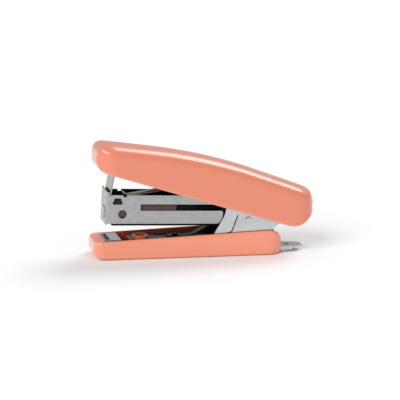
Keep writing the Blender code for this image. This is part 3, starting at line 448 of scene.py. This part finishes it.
def smooth_path(points, count):
    """A cubic through the points (Catmull-Rom), read at equal steps of its parameter."""
    points = np.asarray(points, float)
    padded = np.concatenate((2 * points[:1] - points[1:2], points, 2 * points[-1:] - points[-2:-1]))
    at = np.linspace(0, len(points) - 1 - 1e-9, count)
    i = at.astype(int)
    t = (at - i)[:, None]
    p0, p1, p2, p3 = (padded[i + k] for k in range(4))
    return 0.5 * (
        2 * p1 + (p2 - p0) * t + (2 * p0 - 5 * p1 + 4 * p2 - p3) * t ** 2
        + (3 * p1 - p0 - 3 * p2 + p3) * t ** 3
    )


def local(points, tilt):
    """(x, z) or (x, y, z) points of a frame on the pivot, its front lifted by tilt, in the object's frame."""
    points = np.atleast_2d(np.asarray(points, float))
    if points.shape[1] == 2:
        points = np.stack((points[:, 0], np.zeros(len(points)), points[:, 1]), 1)
    x = points[:, 0] * math.cos(tilt) + points[:, 2] * math.sin(tilt)
    z = -points[:, 0] * math.sin(tilt) + points[:, 2] * math.cos(tilt)
    return np.stack((x, points[:, 1], z), 1) + np.array(PIVOT)


STAPLE_WIRE = 0.0005
STAPLE_HALF = 0.0047
STAPLE_LEG = 0.0050
CROWN_LEVEL = 0.0014


def staples():
    """The glued strip as single staples: each is a flattened wire carried along a U with round corners."""
    front = (STRIP_LOW.x - PIVOT.x) / math.cos(MAGAZINE_TILT)
    count = int(round((STRIP_HIGH.x - STRIP_LOW.x) / STAPLE_WIRE))
    bend, half = 0.0006, STAPLE_HALF - STAPLE_WIRE / 2
    turn = np.linspace(0, math.pi / 2, 4)
    level = CROWN_LEVEL - STAPLE_WIRE / 2
    arc = np.stack((half - bend + bend * np.sin(turn), level - bend + bend * np.cos(turn)), 1)
    foot = np.array([[half, level - STAPLE_LEG + STAPLE_WIRE / 2]])
    side = np.concatenate((arc, foot))
    line = np.concatenate((side[::-1] * (-1, 1), side))
    slope = np.gradient(line, axis=0)
    slope /= np.linalg.norm(slope, axis=1)[:, None]
    normal = np.stack((-slope[:, 1], slope[:, 0]), 1)
    turn = np.linspace(0, 2 * math.pi, 8, endpoint=False) + math.pi / 8
    thick, long = np.cos(turn), np.sin(turn)
    squared = np.maximum(np.abs(thick), np.abs(long)) ** 0.6
    ring_x = long / squared * STAPLE_WIRE * 0.49
    ring_n = thick / squared * STAPLE_WIRE * 0.5
    yz = line[:, None] + ring_n[None, :, None] * normal[:, None]
    one = np.concatenate((np.broadcast_to(ring_x[None, :, None], (*yz.shape[:2], 1)), yz), 2)
    faces = [list(f) for f in grid_faces(len(line), 8, wrap_columns=True)]
    faces += [list(range(8)), list(range((len(line) - 1) * 8, len(line) * 8))]
    places = front + STAPLE_WIRE * (np.arange(count) + 0.5)
    wobble = 0.00002 * np.sin(np.arange(count) * 2.4)
    every = one[None] + np.stack((places, wobble, wobble * 0.7), 1)[:, None, None]
    points = local(every.reshape(-1, 3), MAGAZINE_TILT)
    block = len(line) * 8
    all_faces = [[i + k * block for i in f] for k in range(count) for f in faces]
    return solid("staples", points, all_faces, sharp=35, weld=1e-7)


COIL_RADIUS = 0.00125
COIL_WIRE = 0.00022
COIL_TURNS = 11
ROD_LEVEL = -0.0024


def pusher_coil():
    """Coil spring: a wire carried along a helix whose first and last turns close up."""
    low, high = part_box("pusher_spring")
    turns = COIL_TURNS + 2
    angle = np.linspace(0, 2 * math.pi * turns, turns * 20)
    pitch = np.clip(angle / (2 * math.pi), 0, None)
    even = np.interp(pitch, (0, 1, turns - 1, turns), (0, 0.03, 0.97, 1))
    start, end = low.x + COIL_WIRE - PIVOT.x, high.x - COIL_WIRE - PIVOT.x
    x = start + (end - start) * even
    path = np.stack((x, COIL_RADIUS * np.cos(angle), ROD_LEVEL + COIL_RADIUS * np.sin(angle)), 1)
    return tube("pusher_coil", local(path, MAGAZINE_TILT), COIL_WIRE, sides=8)


def anvil():
    """Clinching plate: a height function over its plan. Two long hollows with a raised bridge between them
    turn the legs in, its edges are rounded and its sides turn down into the tray; a lower skin closes it."""
    low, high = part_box("anvil_plate")
    x = np.linspace(low.x, high.x, 70)
    half = high.y
    sheet, bend = 0.0006, 0.0009
    turn = np.linspace(0, math.pi / 2, 7)
    rounded_y = half - bend + bend * np.sin(turn[1:])
    side_y = np.concatenate((np.linspace(0, half - bend, 60), rounded_y, [half, half]))
    side_z = np.concatenate((np.zeros(60), bend * (np.cos(turn[1:]) - 1), [-bend - 0.0012, low.z - high.z]))
    y = np.concatenate((-side_y[:0:-1], side_y))
    z = np.concatenate((side_z[:0:-1], side_z))
    grid_x, grid_y = np.meshgrid(x, y, indexing="ij")
    across = np.abs(grid_y) - STAPLE_HALF / 2
    inside = np.clip(1 - (across / (STAPLE_HALF * 0.47)) ** 2, 0, 1) * np.clip(
        1 - ((grid_x - CLINCH_X) / 0.00085) ** 2, 0, 1)
    dish = 0.00040 * inside ** 0.6
    top = np.stack((grid_x, grid_y, high.z + z[None] - dish), -1)
    inner_y = np.clip(y, sheet - half, half - sheet)
    under = np.stack((grid_x, np.broadcast_to(inner_y, grid_y.shape), high.z - sheet + np.minimum(
        z[None] * np.where(np.abs(y) > half - bend, 1, 0), 0) - dish * 0.3), -1)
    under[..., 2] = np.maximum(under[..., 2], low.z)
    ring = np.concatenate((top, under[:, ::-1]), 1)
    rows, columns = ring.shape[:2]
    faces = [list(f) for f in grid_faces(rows, columns, wrap_columns=True)]
    for row in (0, rows - 1):
        start = row * columns
        for j in range(top.shape[1] - 1):
            faces.append([start + j, start + j + 1, start + columns - 2 - j, start + columns - 1 - j])
    return solid("anvil", ring.reshape(-1, 3), faces, sharp=45, weld=1e-6)


# ---------------------------------------------------------------- shader groups
def group(name, inputs, outputs):
    """Empty shader node group: inputs are (name, socket type, value), outputs are (name, socket type)."""
    made = bpy.data.node_groups.new(name, "ShaderNodeTree")
    for label, kind, value in inputs:
        socket = made.interface.new_socket(name=label, in_out="INPUT", socket_type=kind)
        socket.default_value = value
    for label, kind in outputs:
        made.interface.new_socket(name=label, in_out="OUTPUT", socket_type=kind)
    nodes = made.nodes
    return made, nodes.new("NodeGroupInput"), nodes.new("NodeGroupOutput")


def add(tree, kind, **settings):
    """A node in the tree with its properties and unlinked inputs set: inputs are given as in_NUMBER=value."""
    node = tree.nodes.new(kind)
    for key, value in settings.items():
        if key.startswith("in_"):
            node.inputs[int(key[3:])].default_value = value
        else:
            setattr(node, key, value)
    return node


def maths(tree, operation, first, second, third=None, clamp=False):
    """Math node: each operand is a socket to link or a number."""
    node = tree.nodes.new("ShaderNodeMath")
    node.operation = operation
    node.use_clamp = clamp
    for socket, value in zip(node.inputs, (first, second, third)):
        if value is None:
            continue
        if isinstance(value, (int, float)):
            socket.default_value = value
        else:
            tree.links.new(value, socket)
    return node.outputs[0]


FLOAT, VECTOR = "NodeSocketFloat", "NodeSocketVector"


def make_mottle_group():
    """Soft patches: two noises on Object coordinates, the finer one laid over the broader one."""
    made, inside, out = group(
        "mottle", [("Scale", FLOAT, 400.0), ("Stretch", VECTOR, (1, 1, 1)), ("Contrast", FLOAT, 1.0)],
        [("Mask", FLOAT), ("Fine", FLOAT)],
    )
    coordinates = add(made, "ShaderNodeTexCoord")
    mapping = add(made, "ShaderNodeMapping")
    made.links.new(coordinates.outputs["Object"], mapping.inputs["Vector"])
    made.links.new(inside.outputs["Stretch"], mapping.inputs["Scale"])
    broad, fine = add(made, "ShaderNodeTexNoise", in_3=3.0), add(made, "ShaderNodeTexNoise", in_3=5.0)
    for noise in (broad, fine):
        made.links.new(mapping.outputs[0], noise.inputs["Vector"])
    made.links.new(inside.outputs["Scale"], broad.inputs["Scale"])
    made.links.new(maths(made, "MULTIPLY", inside.outputs["Scale"], 5.3), fine.inputs["Scale"])
    centred = maths(made, "SUBTRACT", broad.outputs[0], 0.5)
    lifted = maths(made, "MULTIPLY_ADD", maths(made, "SUBTRACT", fine.outputs[0], 0.5), 0.5, centred)
    scaled = maths(made, "MULTIPLY", lifted, inside.outputs["Contrast"])
    made.links.new(maths(made, "ADD", scaled, 0.5, clamp=True), out.inputs["Mask"])
    made.links.new(fine.outputs[0], out.inputs["Fine"])
    return made


def make_edge_group():
    """Worn edges: the mesh's pointiness above a level, broken up by noise."""
    made, inside, out = group(
        "edge_wear", [("Level", FLOAT, 0.53), ("Amount", FLOAT, 0.5)], [("Mask", FLOAT)],
    )
    geometry = add(made, "ShaderNodeNewGeometry")
    coordinates = add(made, "ShaderNodeTexCoord")
    noise = add(made, "ShaderNodeTexNoise", in_2=900.0, in_3=4.0)
    made.links.new(coordinates.outputs["Object"], noise.inputs["Vector"])
    over = maths(made, "SUBTRACT", geometry.outputs["Pointiness"], inside.outputs["Level"])
    sharp = maths(made, "MULTIPLY", over, 14.0, clamp=True)
    broken = maths(made, "MULTIPLY", sharp, noise.outputs[0])
    made.links.new(maths(made, "MULTIPLY", broken, inside.outputs["Amount"], clamp=True), out.inputs["Mask"])
    return made


def make_dust_group():
    """Dust on upward faces: the normal's height times a fine noise."""
    made, inside, out = group("dust", [("Amount", FLOAT, 0.1)], [("Mask", FLOAT)])
    geometry = add(made, "ShaderNodeNewGeometry")
    split = add(made, "ShaderNodeSeparateXYZ")
    made.links.new(geometry.outputs["Normal"], split.inputs[0])
    coordinates = add(made, "ShaderNodeTexCoord")
    noise = add(made, "ShaderNodeTexNoise", in_2=2600.0, in_3=6.0)
    made.links.new(coordinates.outputs["Object"], noise.inputs["Vector"])
    peaks = maths(made, "SUBTRACT", noise.outputs[0], 0.56, clamp=True)
    speck = maths(made, "MULTIPLY", peaks, 6.0, clamp=True)
    upward = maths(made, "MULTIPLY", maths(made, "MAXIMUM", split.outputs[2], 0.0), speck)
    made.links.new(maths(made, "MULTIPLY", upward, inside.outputs["Amount"], clamp=True), out.inputs["Mask"])
    return made


def make_band_group():
    """One where a coordinate of the piece lies between two values, with a short soft edge."""
    made, inside, out = group(
        "band",
        [("Axis", VECTOR, (0, 1, 0)), ("Low", FLOAT, 0.0), ("High", FLOAT, 1.0), ("Edge", FLOAT, 0.0001)],
        [("Mask", FLOAT)],
    )
    coordinates = add(made, "ShaderNodeTexCoord")
    dot = add(made, "ShaderNodeVectorMath", operation="DOT_PRODUCT")
    made.links.new(coordinates.outputs["Object"], dot.inputs[0])
    made.links.new(inside.outputs["Axis"], dot.inputs[1])
    value = dot.outputs["Value"]
    edge = inside.outputs["Edge"]
    rise = maths(made, "DIVIDE", maths(made, "SUBTRACT", value, inside.outputs["Low"]), edge, clamp=True)
    fall = maths(made, "DIVIDE", maths(made, "SUBTRACT", inside.outputs["High"], value), edge, clamp=True)
    made.links.new(maths(made, "MULTIPLY", rise, fall), out.inputs["Mask"])
    return made


MOTTLE, EDGE, DUST, BAND = make_mottle_group(), make_edge_group(), make_dust_group(), make_band_group()


def use(tree, made, **values):
    """A group placed in a material with its own input values."""
    node = tree.nodes.new("ShaderNodeGroup")
    node.node_tree = made
    for label, value in values.items():
        node.inputs[label].default_value = value
    return node


def mixed(tree, mask, first, second):
    """Colour mix by a mask; each colour is a tuple or a socket."""
    node = tree.nodes.new("ShaderNodeMix")
    node.data_type = "RGBA"
    tree.links.new(mask, node.inputs[0])
    for socket, value in ((node.inputs[6], first), (node.inputs[7], second)):
        if isinstance(value, tuple):
            socket.default_value = (*value, 1)
        else:
            tree.links.new(value, socket)
    return node.outputs[2]


def bump(tree, height, strength, distance):
    """Normal bent by a height mask."""
    node = tree.nodes.new("ShaderNodeBump")
    node.inputs["Strength"].default_value = strength
    node.inputs["Distance"].default_value = distance
    tree.links.new(height, node.inputs["Height"])
    return node.outputs[0]


def material(name, metallic=0.0, coat=0.0, coat_roughness=0.1, ior=1.5):
    """New material: itself, its node tree and the inputs of its shader."""
    made = bpy.data.materials.new(name)
    made.use_nodes = True
    shader = made.node_tree.nodes["Principled BSDF"]
    shader.inputs["Metallic"].default_value = metallic
    shader.inputs["IOR"].default_value = ior
    shader.inputs["Coat Weight"].default_value = coat
    shader.inputs["Coat Roughness"].default_value = coat_roughness
    return made, made.node_tree, shader.inputs


def limits_mask(tree, limits, edge):
    """One where all the (axis, low, high) limits are met, with soft edges."""
    mask = None
    for axis, low, high in limits:
        band = use(tree, BAND, Axis=axis, Low=low, High=high, Edge=edge).outputs["Mask"]
        mask = band if mask is None else maths(tree, "MULTIPLY", mask, band)
    return mask


def coral_gloss(name, low, high, bands):
    """Gloss moulded plastic: faint patches of tone, fine moulding grain, paler worn edges and a little dust.
    Each band is (limits, edge, colour, share) and tints what lies inside its limits."""
    made, tree, shader = material(name, coat=0.7, coat_roughness=0.20)
    patches = use(tree, MOTTLE, Scale=90.0, Contrast=0.7)
    grain = use(tree, MOTTLE, Scale=1500.0)
    edges = use(tree, EDGE, Level=0.55, Amount=0.25)
    dust = use(tree, DUST, Amount=0.04)
    tone = mixed(tree, patches.outputs["Mask"], low, high)
    for limits, edge, colour, share in bands:
        tone = mixed(tree, maths(tree, "MULTIPLY", limits_mask(tree, limits, edge), share), tone, colour)
    worn = mixed(tree, edges.outputs["Mask"], tone, (0.84, 0.37, 0.27))
    dusty = mixed(tree, dust.outputs["Mask"], worn, (0.85, 0.66, 0.58))
    tree.links.new(dusty, shader["Base Color"])
    tree.links.new(maths(tree, "MULTIPLY_ADD", patches.outputs["Mask"], 0.08, 0.26), shader["Roughness"])
    tree.links.new(bump(tree, grain.outputs["Fine"], 0.08, 0.00003), shader["Normal"])
    return made


def zinc_sheet(name, low, high, roughness, stretch=(1, 1, 1), scale=420.0, contrast=1.2, shade_and_black=()):
    """Plated steel sheet: mottled tone and roughness and fine rolling lines. Each entry of the last argument
    is a list of (axis, low, high) limits, and what meets all the limits of an entry is painted near black:
    painted shade in insides and hollows, and on the base frame's strip also its blued steel."""
    made, tree, shader = material(name, metallic=1.0)
    patches = use(tree, MOTTLE, Scale=scale, Contrast=contrast)
    rolled = use(tree, MOTTLE, Scale=260.0, Stretch=stretch, Contrast=1.6)
    tone = mixed(tree, patches.outputs["Mask"], low, high)
    rough = maths(tree, "MULTIPLY_ADD", patches.outputs["Mask"], -0.10, roughness + 0.05)
    for limits in shade_and_black:
        # painted near black where all the limits meet: mostly painted shade, on the base frame's strip its
        # blued steel too
        tone = mixed(tree, limits_mask(tree, limits, 0.00004), tone, (0.012, 0.012, 0.016))
    tree.links.new(tone, shader["Base Color"])
    tree.links.new(rough, shader["Roughness"])
    tree.links.new(bump(tree, rolled.outputs["Fine"], 0.10, 0.00002), shader["Normal"])
    return made


def dark_metal(name, colour, roughness):
    """Blued spring steel, and steel painted near black as shade inside and under the magazine: almost black,
    with a faint sheen that varies along the strip.
    """
    made, tree, shader = material(name, metallic=1.0)
    patches = use(tree, MOTTLE, Scale=160.0, Stretch=(0.3, 2.0, 1.0), Contrast=1.6)
    paler = tuple(channel * 1.6 for channel in colour)
    tree.links.new(mixed(tree, patches.outputs["Mask"], colour, paler), shader["Base Color"])
    tree.links.new(maths(tree, "MULTIPLY_ADD", patches.outputs["Mask"], 0.12, roughness), shader["Roughness"])
    tree.links.new(bump(tree, patches.outputs["Fine"], 0.08, 0.00002), shader["Normal"])
    return made


def black_nylon():
    """Dull black moulded nylon with a fine grain."""
    made, tree, shader = material("black_nylon", ior=1.15)
    grain = use(tree, MOTTLE, Scale=1200.0)
    tree.links.new(mixed(tree, grain.outputs["Mask"], (0.004, 0.004, 0.004), (0.008, 0.008, 0.008)),
                   shader["Base Color"])
    tree.links.new(maths(tree, "MULTIPLY_ADD", grain.outputs["Mask"], 0.2, 0.4), shader["Roughness"])
    tree.links.new(bump(tree, grain.outputs["Fine"], 0.3, 0.00003), shader["Normal"])
    return made


def floor_white():
    """Matt white sweep, very faintly uneven."""
    made, tree, shader = material("floor_white")
    patches = use(tree, MOTTLE, Scale=3.0)
    tree.links.new(mixed(tree, patches.outputs["Mask"], (0.965, 0.965, 0.965), (0.975, 0.975, 0.975)),
                   shader["Base Color"])
    shader["Roughness"].default_value = 0.9
    return made


def camera():
    """Three-quarter product view, low and slightly turned."""
    turn, lift, roll = CAMERA_TURN, CAMERA_LIFT, CAMERA_ROLL
    right = Vector((math.cos(turn), math.sin(turn), 0))
    forward = Vector((-math.sin(turn) * math.cos(lift), math.cos(turn) * math.cos(lift), -math.sin(lift)))
    up = right.cross(forward)
    across = math.cos(roll) * right + math.sin(roll) * up
    rise = -math.sin(roll) * right + math.cos(roll) * up
    place = CAMERA_AIM - forward * CAMERA_DISTANCE
    lens = bpy.data.cameras.new("camera")
    lens.lens = CAMERA_LENS
    lens.sensor_width = 36
    lens.clip_start = 0.01
    made = bpy.data.objects.new("camera", lens)
    facing = Matrix((across, rise, -forward)).transposed().to_4x4()
    made.matrix_world = Matrix.Translation(place) @ facing
    bpy.context.scene.collection.objects.link(made)
    bpy.context.scene.camera = made


def soft_sun(name, strength, degrees, source):
    """A far round light as wide as the angle, shining from the direction of source."""
    light = bpy.data.lights.new(name, "SUN")
    light.energy = strength
    light.angle = math.radians(degrees)
    made = bpy.data.objects.new(name, light)
    made.rotation_euler = Vector(source).to_track_quat("Z", "Y").to_euler()
    bpy.context.scene.collection.objects.link(made)


def studio():
    """White sweep, a soft key from the upper left and front, a wide overhead light, an even surround."""
    points = FLOOR_HALF * np.array([[-1, -1, 0], [1, -1, 0], [1, 1, 0], [-1, 1, 0]])
    floor = solid("floor", points, [(0, 1, 2, 3)])
    floor.data.materials.append(floor_white())
    world = bpy.data.worlds.new("surround")
    world.use_nodes = True
    world.node_tree.nodes["Background"].inputs["Color"].default_value = (1, 1, 1, 1)
    world.node_tree.nodes["Background"].inputs["Strength"].default_value = SURROUND
    bpy.context.scene.world = world
    soft_sun("key", KEY_STRENGTH, KEY_ANGLE, KEY_FROM)
    soft_sun("overhead", TOP_STRENGTH, TOP_ANGLE, TOP_FROM)


# ---------------------------------------------------------------- putting it together
LENGTH_AXIS, ACROSS_AXIS, UP_AXIS = (1, 0, 0), (0, 1, 0), (0, 0, 1)
MAGAZINE_AXIS = (math.cos(MAGAZINE_TILT), 0, -math.sin(MAGAZINE_TILT))
PLATE_REACH = 0.05625
PLATE_INSIDE = Vector(MAGAZINE_AXIS).dot(PIVOT) - PLATE_REACH
LIP_AXIS = (math.sin(HANDLE_TILT), 0, math.cos(HANDLE_TILT))
LIP_LOW = Vector(LIP_AXIS).dot(PIVOT) - COVER_EDGE_DROP * math.cos(HANDLE_TILT)
LIP = ([(LIP_AXIS, LIP_LOW - 0.001, LIP_LOW + 0.0010)], 0.0002, PALE_CORAL, 0.35)
# painted contact shadow: the base's lowest half millimetre turned deep coral where it meets the floor
PAINTED_CONTACT_SHADE = ([(UP_AXIS, -1.0, 0.0005)], 0.0002, CONTACT_SHADE_CORAL, 0.8)
TRAY_HALF = BASE_HALF - BASE_WALL + 0.0001
# painted shade: the tray's inside, under the magazine, tinted deep red
TRAY_SHADE = (
    [(ACROSS_AXIS, -TRAY_HALF, TRAY_HALF), (UP_AXIS, 0.001, 1.0),
     (LENGTH_AXIS, BASE_LOW.x + TRAY_SETBACK - 0.0001, BASE_HIGH.x - TRAY_BACK_RADIUS)],
    0.0001, TRAY_SHADE_RED, 0.85,
)
COVER_CORAL = coral_gloss("cover_coral", (0.765, 0.222, 0.130), (0.80, 0.238, 0.140), [LIP])
BASE_CORAL = coral_gloss("base_coral", (0.88, 0.295, 0.180), (0.92, 0.315, 0.195), [PAINTED_CONTACT_SHADE, TRAY_SHADE])
# the channel's inside faces are painted near black: painted shade
MAGAZINE_ZINC = zinc_sheet("magazine_zinc", (0.36, 0.375, 0.38), (0.48, 0.495, 0.50), 0.34,
                           shade_and_black=[[(ACROSS_AXIS, -0.00504, 0.00504), (MAGAZINE_AXIS, PLATE_INSIDE, 1.0)]])
# near black below the rib crests on the base frame's front strip: blued steel and painted shade, with the
# crests left bright nickel as painted highlight streaks; the inside faces between the ears are painted near
# black as shade
EAR_NICKEL = zinc_sheet("ear_nickel", (0.50, 0.52, 0.53), (0.62, 0.64, 0.65), 0.26, scale=200.0,
                        shade_and_black=[[(LENGTH_AXIS, -1.0, 0.0006), (UP_AXIS, 0.0, 0.00652)],
                              [(ACROSS_AXIS, -0.00582, 0.00582), (UP_AXIS, 0.0062, 1.0)]])
BLADE_STEEL = zinc_sheet("blade_steel", (0.33, 0.31, 0.29), (0.44, 0.42, 0.40), 0.30, stretch=(1, 6, 0.3))
BRIGHT_STEEL = zinc_sheet("bright_steel", (0.55, 0.58, 0.60), (0.68, 0.70, 0.72), 0.22, scale=300.0)
# near black in the two clinch hollows: painted shade
ANVIL_STEEL = zinc_sheet("anvil_steel", (0.58, 0.62, 0.65), (0.68, 0.71, 0.74), 0.20, scale=300.0,
                         shade_and_black=[[(LENGTH_AXIS, CLINCH_X - 0.0010, CLINCH_X + 0.0010),
                                (ACROSS_AXIS, -0.0046, 0.0046), (UP_AXIS, 0.0, 0.00681)]])
BLUED = dark_metal("blued_spring", (0.008, 0.009, 0.013), 0.30)
# near black for the magazine floor, the staple core and the return spring's rivet: painted shade inside and
# under the magazine
PAINTED_SHADE_STEEL = dark_metal("painted_shade_steel", (0.007, 0.006, 0.006), 0.40)
STAPLE_WIRE_METAL = dark_metal("staple_wire", (0.17, 0.112, 0.110), 0.36)
NYLON = black_nylon()
LEAF_STEEL = dark_metal("leaf_steel", (0.36, 0.37, 0.38), 0.28)

finish_piece(cover_shell(), "handle", "coral_plastic", COVER_CORAL, "handle_cover")
finish_piece(base_tray(), "base", "coral_plastic", BASE_CORAL, "base_cover")
post_top = float(tray_top(np.array(BOSS_X)))
post_foot = TRAY_FLOOR - 0.0001
post = [(BOSS_BORE, post_foot), (BOSS_BORE, post_top - POST_CHAMFER), (BOSS_BORE + POST_CHAMFER, post_top),
        (BOSS_RADIUS - POST_CHAMFER, post_top), (BOSS_RADIUS, post_top - POST_CHAMFER),
        (BOSS_RADIUS, post_foot), (BOSS_BORE, post_foot)]
finish_piece(turned("base_post", post, (BOSS_X, 0, 0)), "base", "coral_plastic", BASE_CORAL)
finish_piece(staples(), "magazine", "staple_steel", STAPLE_WIRE_METAL, "staple_strip")
finish_piece(anvil(), "base", "nickel_steel", ANVIL_STEEL, "anvil_plate")

for leaf_name, node, points, tilt, parts in (
    ("handle_leaf", "handle_spring", HANDLE_LEAF, HANDLE_TILT, ("handle", "magazine")),
    ("return_leaf", "return_spring", RETURN_LEAF, 0.0, ("base", "magazine")),
):
    leaf = strip_along(leaf_name, local(smooth_path(points, 90), tilt), 0.0022, LEAF_THICKNESS)
    leaf.data.materials.append(BLUED if node == "return_spring" else LEAF_STEEL)
    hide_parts(node)
    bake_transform(leaf)

coil = pusher_coil()
coil.data.materials.append(BLUED)
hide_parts("pusher_spring")
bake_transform(coil)

for node, paint in (
    ("magazine_channel", MAGAZINE_ZINC), ("base_frame", EAR_NICKEL), ("driver_blade", BLADE_STEEL),
    ("magazine_floor", PAINTED_SHADE_STEEL), ("staple_core", PAINTED_SHADE_STEEL), ("pusher", NYLON), ("pusher_rod", BRIGHT_STEEL),
    ("handle_arm", EAR_NICKEL), ("pivot_pin", BRIGHT_STEEL), ("stop_pin", EAR_NICKEL),
    ("pivot_bush", BRIGHT_STEEL), ("handle_spring", LEAF_STEEL), ("return_spring", BLUED),
    ("handle_spring_rivet", BRIGHT_STEEL), ("return_spring_rivet", PAINTED_SHADE_STEEL), ("blade_rivet_left", BRIGHT_STEEL),
    ("blade_rivet_right", BRIGHT_STEEL), ("handle_cover", COVER_CORAL), ("base_cover", BASE_CORAL),
    ("staple_strip", STAPLE_WIRE_METAL), ("anvil_plate", ANVIL_STEEL), ("pusher_spring", BLUED),
):
    NODES[node].data.materials.clear()
    NODES[node].data.materials.append(paint)

camera()
studio()
bpy.context.scene.view_settings.view_transform = "Standard"
